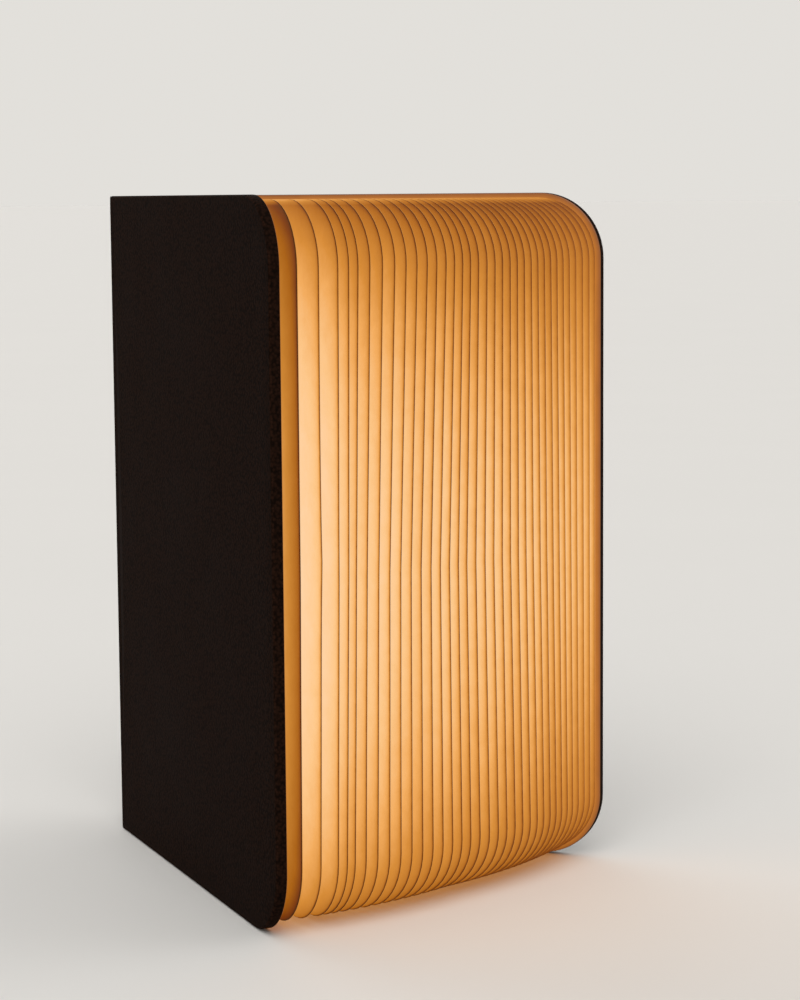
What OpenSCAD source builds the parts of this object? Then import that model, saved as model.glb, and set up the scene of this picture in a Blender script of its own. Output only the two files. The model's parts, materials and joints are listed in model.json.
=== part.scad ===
// A lamp in the shape of a book. Two covers turn on the long edges of a spine,
// a fan of translucent pages spreads between them, and a bar of light stands
// inside the spine. It stands on the lower edges of its covers and its spine.
// X runs across the book, -Y is the way the pages open, Z is up the spine.

/* [Book] */
// Height of the book
book_h = 215; // [190:1:300]
// Width of a cover, from its hinge line to its fore-edge
cover_w = 155; // [120:1:210]
// Width of the spine, from one hinge line to the other
spine_w = 26; // [24:0.5:36]
// How far each cover is turned out of the closed book, in degrees
open_angle = 22.3; // [0:0.1:60]

/* [Covers] */
// Radius of the round corners at the fore-edge
corner_r = 20.75; // [8:0.25:40]
// Thickness of the outer skin
skin_t = 0.6; // [0.4:0.05:1.2]
// Thickness of the board inside the skin
board_t = 2.5; // [2:0.1:4]
// Thickness of the liner, and of the skin turned in beside it
liner_t = 0.35; // [0.2:0.05:0.6]
// Width of the skin turned in over the inner face
turn_in = 5; // [3:0.5:12]
// Gap between the liner and the turned-in skin
liner_gap = 0.2; // [0.1:0.05:0.5]
// How much each mitre at a hinge line is cut back from 45 degrees
mitre_relief = 2; // [1:0.5:6]

/* [Pages] */
// Number of pages
page_count = 34; // [12:1:34]
// Thickness of a page
page_t = 0.35; // [0.2:0.05:0.4]
// How far the pages stay inside the edges of the covers
page_inset = 1.5; // [1:0.25:6]
// Gap between the light bar and the inner edges of the pages, book closed
page_root_gap = 0.8; // [0.5:0.1:5]
// How far the fan of pages settles towards the right cover
page_lean = 0.058; // [0:0.002:0.1]
// How much closer the pages stand on the right than on the left
page_crowd = 0.085; // [0:0.005:0.15]
// How far the third page stands off from the second
page_stand = 0.059; // [0:0.001:0.08]
// How far the last pages lean on the right cover
page_hug = 0.054; // [0:0.001:0.056]

/* [Light bar] */
// Gap between each closed cover and the side of the light bar
bar_side_gap = 1.05; // [0.5:0.05:3]
// Depth of the channel, from the spine board to its open front
channel_d = 10.9; // [10:0.1:16]
// Thickness of the channel's side walls
channel_wall = 1.2; // [1:0.1:1.6]
// Thickness of the channel's back wall
channel_back = 1.6; // [1.2:0.1:2.2]
// Distance from the ends of the book to the ends of the channel
channel_end = 7; // [6.8:0.1:20]
// Height of the diffuser's dome in front of the channel
dome_h = 3; // [1.5:0.1:5]
// Wall of the diffuser
diffuser_t = 1.2; // [0.8:0.1:1.6]
// Thickness of an end cap
cap_t = 1.6; // [1.2:0.1:1.8]
// Length of the tongue on an end cap
tongue_l = 3; // [2:0.5:6]

/* [Circuit] */
// Thickness of the light board
led_board_t = 1.2; // [0.8:0.1:1.2]
// Number of lights
led_count = 12; // [6:1:20]
// Height of a light along the bar
led_h = 3.5; // [2.8:0.1:5]
// Width of a light
led_w = 2.8; // [2:0.1:5]
// Thickness of a light
led_t = 0.8; // [0.5:0.1:1.2]
// Radius of the round window in a light
window_r = 1.1; // [0.5:0.1:1.2]
// Thickness of the control board
control_t = 1; // [0.8:0.1:1.1]
// Length of the control board
control_l = 38; // [30:1:60]
// Gap between the cell and the screw ports on each side of it
cell_side_gap = 0.4; // [0.2:0.1:1.5]
// Room left between the cell, the light board and the back of the channel
cell_room = 0.5; // [0.2:0.1:1.5]
// Length of the cell
cell_l = 100; // [40:1:125]
// Radius of the cell's rounded sides
cell_r = 1.5; // [0.5:0.1:2.4]
// Gap between the control board and the cell
cell_gap = 4; // [2:0.5:10]
// Width of the charging socket
socket_w = 8.94; // [7:0.01:9]
// Height of the charging socket across its mouth
socket_h = 3.26; // [2.4:0.01:3.4]
// Length of the charging socket
socket_l = 7.3; // [5:0.1:10]
// Wall of the charging socket's shell
socket_wall = 0.3; // [0.2:0.05:0.4]

/* [Magnets and screws] */
// Radius of a closing magnet
magnet_r = 5; // [3:0.1:8]
// Thickness of a magnet
magnet_t = 1.5; // [1:0.1:1.9]
// Distance from the fore-edge to the middle of a closing magnet
magnet_edge = 14; // [10:0.5:40]
// Distance between the two closing magnets of a cover
magnet_span = 140; // [40:1:150]
// Radius of the magnet that works the switch
switch_magnet_r = 3; // [2:0.1:4]
// Clearance round a magnet in its pocket
magnet_gap = 0.1; // [0.05:0.05:0.3]
// Radius of the screws that hold the channel
bar_screw_r = 1.25; // [1:0.05:1.5]
// Distance between the screws that hold the channel
bar_screw_pitch = 80; // [40:1:85]
// Radius of the screws that hold the end caps
cap_screw_r = 0.8; // [0.6:0.05:1]
// Length of a cap screw below its head
cap_screw_l = 6; // [4:0.5:10]

/* [Hidden] */
$fn = 64;
cover_t = skin_t + board_t + liner_t;
board_d = skin_t + board_t;
gap_w = spine_w - 2 * cover_t;
mitre = tan(45 + mitre_relief);
smallest_r = 1;
over = 1;
stand_at = 3;
stand_spread = 1.5;
hug_spread = 2.5;

// The book's depth, from its spine to the foremost page or cover edge
page_reach = max([for (i = [1:page_count])
    (cover_w - page_inset) * cos(page_turn(i)) + (page_depth(i) + page_t / 2) * sin(abs(page_turn(i)))]);
cover_reach = cover_w * cos(open_angle) + cover_t * sin(open_angle);
hinge_y = max(page_reach, cover_reach) / 2;

bar_w = gap_w - 2 * bar_side_gap;
bar_in_w = bar_w - 2 * channel_wall;
bar_front = board_d + channel_d;
bar_back_in = board_d + channel_back;
bar_z0 = channel_end;
bar_z1 = book_h - channel_end;
dome_r = (bar_w * bar_w / 4 + dome_h * dome_h) / (2 * dome_h);
dome_y = -(bar_front + dome_h - dome_r);
page_root = bar_front + dome_h + page_root_gap;

// Ribs and slots inside the channel, counted from its open front
rib_d = 0.8;
rib_t = 0.8;
slot_gap = 0.1;
foot_room = 1.7;
led_slot = led_board_t + slot_gap;
control_slot = control_t + slot_gap;
rib_1 = bar_front - foot_room;
rib_2 = rib_1 - rib_t - led_slot;
rib_3 = rib_2 - rib_t - control_slot;
led_face = rib_1 - rib_t;
led_back = led_face - led_board_t;
control_face = rib_2 - rib_t;
control_back = control_face - control_t;
board_side_gap = 0.2;
board_end_gap = 0.5;
slot_board_w = bar_in_w - 2 * board_side_gap;
port_wall = 0.45;
port_inset = 0.45;
port_sink = 0.3;
port_r = cap_screw_r + port_wall;
port_x = bar_in_w / 2 - port_inset;
port_y = bar_back_in + port_r - port_sink;

// Feet of the diffuser and the beads that hold them
foot_t = 1;
foot_gap = 0.1;
foot_l = 1.5;
foot_root = 0.5;
bead_r = 0.25;
bead_gap = 0.05;
bead_up = 0.9;
bead_y = bar_front - bead_up;
foot_x = bar_in_w / 2 - foot_gap - foot_t;

// Circuit
board_up = 1;
control_z0 = bar_z0 + board_up;
control_z1 = control_z0 + control_l;
cell_z0 = control_z1 + cell_gap;
cell_w = 2 * (port_x - port_r - cell_side_gap);
cell_t = led_back - bar_back_in - cell_room;
cell_y = bar_back_in + cell_room / 2;
socket_y = control_back - socket_h / 2;
socket_z0 = bar_z0 - cap_t;
socket_gap = 0.15;
socket_tongue_t = 0.7;
socket_tongue_gap = 0.9;
socket_back_t = 1.2;
header_w = 8;
header_h = 2.5;
header_drop = 8;
header_z = control_z1 - header_drop;
lead_r = 0.5;
lead_x = 2;
lead_run = 6;
reed_r = 0.9;
reed_l = 10;
reed_tail_r = 0.25;
reed_tail_l = 3;
reed_in = 3;
reed_x = -slot_board_w / 2 + reed_in;
reed_up = 22;
reed_z = control_z0 + reed_up;
phosphor_r = min(window_r, 0.45 * led_w);
phosphor_t = 0.1;
led_margin = 8;
led_pitch = (bar_z1 - bar_z0 - 2 * led_margin) / led_count;

// Screws
bar_head_r = 2 * bar_screw_r;
bar_drive_r = 0.8 * bar_screw_r;
bar_screw_zs = [for (k = [-1, 0, 1]) book_h / 2 + k * bar_screw_pitch];
cap_head_r = 1.75 * cap_screw_r;
cap_head_t = 0.8;
drive_r = 0.45;
drive_t = 0.4;

// Name of page i, counted from the left cover
function page_name(i) = str("page_", i < 10 ? "0" : "", i);

// Place of page i across the pack, from -1 at the left cover to 1 at the right
function page_place(i) = (2 * i - page_count - 1) / (page_count + 1);

// How near page i is to a given page: 1 at that page, fading on both sides of it
function near_page(i, at, spread) = exp(-pow((i - at) / spread, 2));

// Share of a cover's turn that page i makes: its place, moved by the lean and the
// crowding of the pack, and by the two groups of pages that stand or lie apart
function page_share(i) =
    let (u = page_place(i))
        u + (1 - u * u) * (page_lean - page_crowd * u)
            + page_stand * near_page(i, stand_at, stand_spread)
            + page_hug * near_page(i, page_count, hug_spread);

// Angle of page i in the stored pose, positive towards the right cover
function page_turn(i) = page_share(i) * open_angle;

// Depth of page i below the outer face of the cover that it opens towards
function page_depth(i) =
    spine_w / 2 - (page_share(i) < 0 ? -1 : 1) * page_place(i) * gap_w / 2;

// Outline of a cover, seen from its outer face: hinge line at 0, fore-edge at -cover_w
module side_outline(inset, root) {
    w = cover_w - inset;
    h = book_h - 2 * inset;
    r = max(corner_r - inset, smallest_r);
    translate([-w + r, inset])
        square([w - r - root, h]);
    translate([-w, inset + r])
        square([w - root, h - 2 * r]);
    for (z = [inset + r, book_h - inset - r])
        translate([-w + r, z])
            circle(r);
}

// A flat plate of that outline, from depth d0 to d1 below the cover's outer face
module side_plate(inset, d0, d1, root = 0) {
    rotate([90, 0, 90])
        translate([0, 0, -d1])
            linear_extrude(d1 - d0)
                side_outline(inset, root);
}

// Cuts a cover's layers to the mitre that meets the spine at the hinge line
module mitred_to_spine() {
    intersection() {
        children();
        translate([0, 0, -over])
            linear_extrude(book_h + 2 * over)
                polygon([[0, 0], [0, -cover_w - over], [-cover_t, -cover_w - over],
                         [-cover_t, -cover_t * mitre]]);
    }
}

// The spine's layers from depth d0 to d1, mitred at both hinge lines
module spine_plate(d0, d1, z0, z1) {
    half = spine_w / 2;
    translate([0, 0, z0])
        linear_extrude(z1 - z0)
            polygon([[half - d0 * mitre, -d0], [half - d1 * mitre, -d1],
                     [-half + d1 * mitre, -d1], [-half + d0 * mitre, -d0]]);
}

module on_spine() {
    translate([0, hinge_y, 0])
        children();
}

// Turned out by an angle on the right hinge line
module on_right_hinge(angle) {
    translate([spine_w / 2, hinge_y, 0])
        rotate([0, 0, angle])
            children();
}

module on_left_hinge(angle) {
    mirror([1, 0, 0])
        on_right_hinge(angle)
            children();
}

module magnet_place(u, z) {
    translate([-skin_t - magnet_t, -u, z])
        rotate([0, 90, 0])
            children();
}

module closing_magnets(gap) {
    for (s = [-1, 1])
        magnet_place(cover_w - magnet_edge, book_h / 2 + s * magnet_span / 2)
            cylinder(h = magnet_t, r = magnet_r + gap);
}

// The switch magnet lies beside the reed switch when the book is closed
module switch_magnet_disc(gap) {
    magnet_place(control_back, reed_z)
        cylinder(h = magnet_t, r = switch_magnet_r + gap);
}

// Skin of a cover: its outer face, its three edges and the border turned in
module cover_skin() {
    color("#1d1210")
        mitred_to_spine()
            difference() {
                side_plate(0, 0, cover_t);
                side_plate(skin_t, skin_t, board_d, -over);
                side_plate(turn_in, board_d - over / 2, cover_t + over, -over);
            }
}

module cover_board() {
    color("#9a7b55")
        difference() {
            mitred_to_spine()
                side_plate(skin_t, skin_t, board_d);
            closing_magnets(magnet_gap);
            children();
        }
}

module cover_liner() {
    color("#5a3a22")
        mitred_to_spine()
            side_plate(turn_in + liner_gap, board_d, cover_t);
}

module right_skin() {
    on_right_hinge(open_angle)
        cover_skin();
}

module right_board() {
    on_right_hinge(open_angle)
        cover_board();
}

module right_liner() {
    on_right_hinge(open_angle)
        cover_liner();
}

module right_magnets() {
    color("#b9bcc0")
        on_right_hinge(open_angle)
            closing_magnets(0);
}

module left_skin() {
    on_left_hinge(open_angle)
        cover_skin();
}

module left_board() {
    on_left_hinge(open_angle)
        cover_board()
            switch_magnet_disc(magnet_gap);
}

module left_liner() {
    on_left_hinge(open_angle)
        cover_liner();
}

module left_magnets() {
    color("#b9bcc0")
        on_left_hinge(open_angle)
            closing_magnets(0);
}

module switch_magnet() {
    color("#a9adb2")
        on_left_hinge(open_angle)
            switch_magnet_disc(0);
}

// Skin of the spine: its outer face, its ends and the borders turned in at them
module spine_skin() {
    color("#1d1210")
        on_spine()
            difference() {
                spine_plate(0, cover_t, 0, book_h);
                translate([-spine_w / 2, -board_d, skin_t])
                    cube([spine_w, board_t, book_h - 2 * skin_t]);
                translate([-spine_w / 2, -cover_t - over, turn_in])
                    cube([spine_w, liner_t + 2 * over, book_h - 2 * turn_in]);
            }
}

module spine_board() {
    color("#9a7b55")
        on_spine()
            difference() {
                spine_plate(skin_t, board_d, skin_t, book_h - skin_t);
                bar_screw_shapes();
            }
}

// Countersunk screws that go from the spine board into the back of the channel
module bar_screw_shapes(past = 0) {
    for (z = bar_screw_zs)
        translate([0, -skin_t, z])
            rotate([90, 0, 0]) {
                cylinder(h = bar_head_r - bar_screw_r, r1 = bar_head_r, r2 = bar_screw_r);
                cylinder(h = board_t + channel_back + past, r = bar_screw_r);
            }
}

module channel_screws() {
    color("#c4c6c8")
        on_spine()
            difference() {
                bar_screw_shapes();
                for (z = bar_screw_zs)
                    translate([0, -skin_t + over, z])
                        rotate([90, 0, 0])
                            cylinder(h = over + drive_t, r = bar_drive_r, $fn = 6);
            }
}

// Section of the channel: a trough with slots for two boards and round screw ports
module channel_section() {
    difference() {
        union() {
            difference() {
                translate([-bar_w / 2, -bar_front])
                    square([bar_w, channel_d]);
                translate([-bar_in_w / 2, -bar_front - over])
                    square([bar_in_w, channel_d - channel_back + over]);
            }
            for (s = [-1, 1]) {
                for (y = [rib_1, rib_2, rib_3])
                    translate([s * (bar_in_w - rib_d) / 2, -y + rib_t / 2])
                        square([rib_d, rib_t], center = true);
                translate([s * port_x, -port_y])
                    circle(port_r);
            }
        }
        for (s = [-1, 1]) {
            translate([s * port_x, -port_y])
                circle(cap_screw_r);
            translate([s * bar_in_w / 2, -bead_y])
                circle(bead_r + bead_gap);
        }
    }
}

module light_channel() {
    color("#c9cbcd")
        on_spine()
            difference() {
                translate([0, 0, bar_z0])
                    linear_extrude(bar_z1 - bar_z0)
                        channel_section();
                bar_screw_shapes(over);
            }
}

module dome_section() {
    intersection() {
        translate([0, dome_y])
            circle(dome_r, $fn = 128);
        translate([-bar_w / 2, -bar_front - dome_h])
            square([bar_w, dome_h]);
    }
}

// Domed cover of the channel, with two feet whose beads click into its walls
module diffuser() {
    color("#f4ead8")
        on_spine()
            translate([0, 0, bar_z0])
                linear_extrude(bar_z1 - bar_z0) {
                    difference() {
                        dome_section();
                        translate([0, dome_y])
                            circle(dome_r - diffuser_t, $fn = 128);
                    }
                    for (s = [-1, 1]) {
                        translate([s * (foot_x + foot_t / 2), -bar_front + (foot_l - foot_root) / 2])
                            square([foot_t, foot_l + foot_root], center = true);
                        translate([s * (foot_x + foot_t), -bead_y])
                            circle(bead_r);
                    }
                }
}

module light_board() {
    color("#f2f2ee")
        on_spine()
            translate([-slot_board_w / 2, -led_face, bar_z0 + board_end_gap])
                cube([slot_board_w, led_board_t, bar_z1 - bar_z0 - 2 * board_end_gap]);
}

// The lights: white bodies with a round yellow window, in a row up the board
module lights() {
    on_spine()
        for (k = [0:led_count - 1])
            translate([0, -led_face, bar_z0 + led_margin + (k + 0.5) * led_pitch]) {
                color("#f7e9b8")
                    translate([-led_w / 2, -led_t, -led_h / 2])
                        cube([led_w, led_t, led_h]);
                color("#e9b23c")
                    rotate([90, 0, 0])
                        cylinder(h = led_t + phosphor_t, r = phosphor_r);
            }
}

module control_board() {
    color("#1f5a3a")
        on_spine()
            translate([-slot_board_w / 2, -control_face, control_z0])
                cube([slot_board_w, control_t, control_l]);
}

// Block that joins the control board to the light board in front of it
module board_header() {
    color("#16181a")
        on_spine()
            translate([-header_w / 2, -led_back, header_z])
                cube([header_w, led_back - control_face, header_h]);
}

// Flat cell with rounded sides, behind the boards
module cell() {
    color("#3f6fb0")
        on_spine()
            translate([0, -cell_y - cell_t, cell_z0])
                linear_extrude(cell_l) {
                    translate([-cell_w / 2 + cell_r, 0])
                        square([cell_w - 2 * cell_r, cell_t]);
                    translate([-cell_w / 2, cell_r])
                        square([cell_w, cell_t - 2 * cell_r]);
                    for (x = [-cell_w / 2 + cell_r, cell_w / 2 - cell_r])
                        for (y = [cell_r, cell_t - cell_r])
                            translate([x, y])
                                circle(cell_r);
                }
}

// Two wires from the foot of the cell to the back of the control board
module cell_leads() {
    color("#a8201c")
        on_spine()
            for (s = [-1, 1])
                translate([s * lead_x, -control_back + lead_r, control_z1 - lead_run])
                    cylinder(h = lead_run + cell_gap, r = lead_r);
}

module socket_outline(w, h) {
    for (s = [-1, 1])
        translate([s * (w - h) / 2, 0])
            circle(h / 2);
    square([w - h, h], center = true);
}

// Charging socket: an oval steel shell with a tongue inside, open at the lower end
module charge_socket() {
    color("#b4b7ba")
        on_spine()
            translate([0, -socket_y, socket_z0]) {
                difference() {
                    linear_extrude(socket_l)
                        socket_outline(socket_w, socket_h);
                    translate([0, 0, -over])
                        linear_extrude(socket_l - socket_back_t + over)
                            socket_outline(socket_w - 2 * socket_wall, socket_h - 2 * socket_wall);
                }
                translate([-socket_w / 2 + socket_h / 2, -socket_tongue_t / 2, socket_tongue_gap])
                    cube([socket_w - socket_h, socket_tongue_t,
                          socket_l - socket_back_t / 2 - socket_tongue_gap]);
            }
}

// Switch that closes the circuit when the left cover's magnet moves away
module reed_switch() {
    color("#9fc3b4")
        on_spine()
            translate([reed_x, -control_back + reed_r, reed_z - reed_l / 2]) {
                cylinder(h = reed_l, r = reed_r);
                translate([0, 0, -reed_tail_l])
                    cylinder(h = reed_l + 2 * reed_tail_l, r = reed_tail_r);
            }
}

// An end cap of the bar, its outer face at z = 0 and its tongue pointing up
module end_cap() {
    difference() {
        union() {
            linear_extrude(cap_t) {
                translate([-bar_w / 2, -bar_front])
                    square([bar_w, channel_d]);
                dome_section();
            }
            translate([-foot_x + board_side_gap, -bar_front, 0])
                cube([2 * (foot_x - board_side_gap), foot_room - led_t - board_side_gap + rib_t,
                      cap_t + tongue_l]);
        }
        for (s = [-1, 1])
            translate([s * port_x, -port_y, 0]) {
                translate([0, 0, -over])
                    cylinder(h = cap_t + 2 * over, r = cap_screw_r);
                translate([0, 0, -over])
                    cylinder(h = cap_head_t + over, r = cap_head_r);
            }
    }
}

module bottom_cap() {
    color("#2a2422")
        on_spine()
            translate([0, 0, bar_z0 - cap_t])
                difference() {
                    end_cap();
                    translate([0, -socket_y, -over])
                        linear_extrude(cap_t + 2 * over)
                            socket_outline(socket_w + 2 * socket_gap, socket_h + 2 * socket_gap);
                }
}

module top_cap() {
    color("#2a2422")
        on_spine()
            translate([0, 0, bar_z1 + cap_t])
                mirror([0, 0, 1])
                    end_cap();
}

module cap_screw() {
    difference() {
        union() {
            cylinder(h = cap_head_t, r = cap_head_r);
            cylinder(h = cap_head_t + cap_screw_l, r = cap_screw_r);
        }
        translate([0, 0, -over])
            cylinder(h = over + drive_t, r = drive_r, $fn = 6);
    }
}

module cap_screws() {
    color("#c4c6c8")
        on_spine()
            for (s = [-1, 1]) {
                translate([s * port_x, -port_y, bar_z0 - cap_t])
                    cap_screw();
                translate([s * port_x, -port_y, bar_z1 + cap_t])
                    mirror([0, 0, 1])
                        cap_screw();
            }
}

// Page i lies parallel to the covers in the closed book, and turns on the
// hinge line of the cover that its side of the fan opens towards
module page(i) {
    depth = page_depth(i);
    color("#fff0da")
        if (page_share(i) < 0)
            on_left_hinge(-page_turn(i))
                side_plate(page_inset, depth - page_t / 2, depth + page_t / 2, page_root);
        else
            on_right_hinge(page_turn(i))
                side_plate(page_inset, depth - page_t / 2, depth + page_t / 2, page_root);
}

spine_skin();
spine_board();
light_channel();
diffuser();
light_board();
lights();
control_board();
board_header();
cell();
cell_leads();
charge_socket();
reed_switch();
bottom_cap();
top_cap();
cap_screws();
channel_screws();
right_skin();
right_board();
right_liner();
right_magnets();
left_skin();
left_board();
left_liner();
left_magnets();
switch_magnet();
for (i = [1:page_count])
    page(i);
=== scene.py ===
import bpy
import json
import math
import numpy as np
from mathutils import Matrix, Vector


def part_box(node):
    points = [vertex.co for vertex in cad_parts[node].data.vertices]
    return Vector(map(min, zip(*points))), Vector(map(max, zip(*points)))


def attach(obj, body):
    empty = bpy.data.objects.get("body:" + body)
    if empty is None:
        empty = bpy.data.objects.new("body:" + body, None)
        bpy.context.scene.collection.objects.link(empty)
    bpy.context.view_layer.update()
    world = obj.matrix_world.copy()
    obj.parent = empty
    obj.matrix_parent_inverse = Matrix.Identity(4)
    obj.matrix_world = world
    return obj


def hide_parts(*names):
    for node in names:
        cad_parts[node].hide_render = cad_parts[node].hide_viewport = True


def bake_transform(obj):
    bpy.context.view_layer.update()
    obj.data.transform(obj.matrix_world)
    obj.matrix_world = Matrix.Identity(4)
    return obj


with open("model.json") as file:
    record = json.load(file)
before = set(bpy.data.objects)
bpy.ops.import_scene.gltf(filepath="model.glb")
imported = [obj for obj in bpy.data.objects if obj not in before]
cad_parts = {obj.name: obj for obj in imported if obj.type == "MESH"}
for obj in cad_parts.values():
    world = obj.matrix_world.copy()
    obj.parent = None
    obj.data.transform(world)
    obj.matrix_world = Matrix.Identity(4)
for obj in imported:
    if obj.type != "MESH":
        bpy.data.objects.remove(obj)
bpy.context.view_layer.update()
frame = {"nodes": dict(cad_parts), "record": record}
print("frame loaded")

# Sizes of the folding book lamp in millimetres, as the part's source has them.
book = {
    "height": 215.0, "coverWidth": 155.0, "spineWidth": 26.0, "openAngle": 22.3,
    "cornerRadius": 20.75, "skinThick": 0.6, "boardThick": 2.5, "linerThick": 0.35,
    "turnIn": 5.0, "mitreRelief": 2.0, "pageCount": 34,
    "pageInset": 1.5, "pageRoot": 17.8,
}
mm = 0.001
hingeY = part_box("spine_skin")[1].y / mm
coverThick = book["skinThick"] + book["boardThick"] + book["linerThick"]
gapWidth = book["spineWidth"] - 2 * coverThick
mitre = math.tan(math.radians(45 + book["mitreRelief"]))


# Small tools

def linearColour(hexText, strength=1.0):
    # sRGB hex to linear: c/12.92 below 0.04045, otherwise ((c+0.055)/1.055)^2.4
    values = [int(hexText[k:k + 2], 16) / 255 for k in (1, 3, 5)]
    return [strength * (v / 12.92 if v <= 0.04045 else ((v + 0.055) / 1.055) ** 2.4) for v in values] + [1.0]


def addNode(tree, kind, settings):
    # Adds one node. A setting names a property or an input (by name or number); a socket given for an input
    # is linked.
    made = tree.nodes.new("ShaderNode" + kind)
    for name, value in settings.items():
        isProperty = isinstance(name, str) and name not in made.inputs
        if isProperty:
            setattr(made, name, value)
        elif isinstance(value, bpy.types.NodeSocket):
            tree.links.new(value, made.inputs[name])
        else:
            made.inputs[name].default_value = value
    return made


def newMaterial(name):
    # An empty material: itself, its node tree, its shader, and the Object coordinates that its patterns read.
    material = bpy.data.materials.new(name)
    material.use_nodes = True
    tree = material.node_tree
    place = addNode(tree, "TexCoord", {}).outputs["Object"]
    return material, tree, tree.nodes["Principled BSDF"], place


def setShader(tree, shader, settings):
    # Sets the shader's sockets: a number stays on the socket, a socket is linked.
    for name, value in settings.items():
        if isinstance(value, bpy.types.NodeSocket):
            tree.links.new(value, shader.inputs[name])
        else:
            shader.inputs[name].default_value = value


def fillRamp(ramp, stops):
    # Puts (place, hex colour) stops on a colour ramp node.
    band = ramp.color_ramp
    while len(band.elements) > 2:
        band.elements.remove(band.elements[-1])
    for k, (place, colour) in enumerate(stops):
        stop = band.elements[k] if k < 2 else band.elements.new(place)
        stop.position = place
        stop.color = linearColour(colour)
    return ramp


def gridFaces(rows, columns, first=0):
    # Quads of a rows x columns grid of points that starts at index first.
    r, c = np.meshgrid(np.arange(rows - 1), np.arange(columns - 1), indexing="ij")
    a = first + r * columns + c
    return np.stack([a, a + 1, a + columns + 1, a + columns], -1).reshape(-1, 4)


def stripFaces(a, b):
    # Quads between two equally long lines of point indices.
    return np.stack([a[:-1], a[1:], b[1:], b[:-1]], -1)


def signedVolume(points, quads):
    # Six times the volume: the sum of p0 . (p1 x p2) over each quad's two triangles, about the mean point.
    p = points - points.mean(0)
    a, b, c, d = (p[quads[:, k]] for k in range(4))
    return float((a * np.cross(b, c)).sum() + (a * np.cross(c, d)).sum())


def makePiece(name, points, quads, materials, slots=None, fields=None, smoothAngle=35.0):
    # Puts points (metres) and quads into a mesh object, with one value per point for each field.
    mesh = bpy.data.meshes.new(name)
    mesh.vertices.add(len(points))
    mesh.vertices.foreach_set("co", points.astype(np.float32).ravel())
    mesh.loops.add(quads.size)
    mesh.loops.foreach_set("vertex_index", quads.astype(np.int32).ravel())
    mesh.polygons.add(len(quads))
    mesh.polygons.foreach_set("loop_start", np.arange(0, quads.size, 4, dtype=np.int32))
    mesh.polygons.foreach_set("loop_total", np.full(len(quads), 4, dtype=np.int32))
    for material in materials:
        mesh.materials.append(material)
    if slots is not None:
        mesh.polygons.foreach_set("material_index", slots.astype(np.int32))
    mesh.update(calc_edges=True)
    for field, values in (fields or {}).items():
        mesh.attributes.new(field, "FLOAT", "POINT").data.foreach_set("value", values.astype(np.float32))
    mesh.shade_smooth()
    mesh.set_sharp_from_angle(angle=math.radians(smoothAngle))
    mesh.validate()
    piece = bpy.data.objects.new(name, mesh)
    bpy.context.scene.collection.objects.link(piece)
    return piece


def onSide(u, depth, z, side, angle):
    # A point u mm out from a hinge line and depth mm below the cover's outer face, with the cover turned
    # out by angle degrees: x = half spine - depth cos a + u sin a, y = hinge - depth sin a - u cos a.
    a = math.radians(angle)
    x = side * (book["spineWidth"] / 2 - depth * math.cos(a) + u * math.sin(a))
    y = hingeY - depth * math.sin(a) - u * math.cos(a)
    return np.stack([x, y, z + 0 * x], -1) * mm


# Camera

view = {
    "lens": 94.74,                        # mm
    "place": (-567.2, -693.1, 214.0),     # mm, its y counted from the hinge line
    "heading": (0.705, 0.709), "pitch": 6.57, "roll": -0.44,
}


def makeCamera():
    # Forward is the heading tipped down by the pitch; right = forward x up; both turned by the roll.
    pitch, roll = math.radians(view["pitch"]), math.radians(view["roll"])
    east, north = view["heading"]
    forward = Vector((east * math.cos(pitch), north * math.cos(pitch), -math.sin(pitch))).normalized()
    right = forward.cross(Vector((0, 0, 1))).normalized()
    up = right.cross(forward)
    c, s = math.cos(roll), math.sin(roll)
    rolledRight, rolledUp = c * right + s * up, c * up - s * right
    data = bpy.data.cameras.new("camera")
    data.lens = view["lens"]
    data.sensor_width = 36.0
    camera = bpy.data.objects.new("camera", data)
    turn = Matrix((rolledRight, rolledUp, -forward)).transposed().to_4x4()
    x, y, z = view["place"]
    camera.matrix_world = Matrix.Translation((x * mm, (hingeY + y) * mm, z * mm)) @ turn
    data.clip_start, data.clip_end = 0.05, 200.0
    bpy.context.scene.collection.objects.link(camera)
    bpy.context.scene.camera = camera


makeCamera()
bpy.context.scene.view_settings.view_transform = "Standard"
print("camera made")


# Materials

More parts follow.
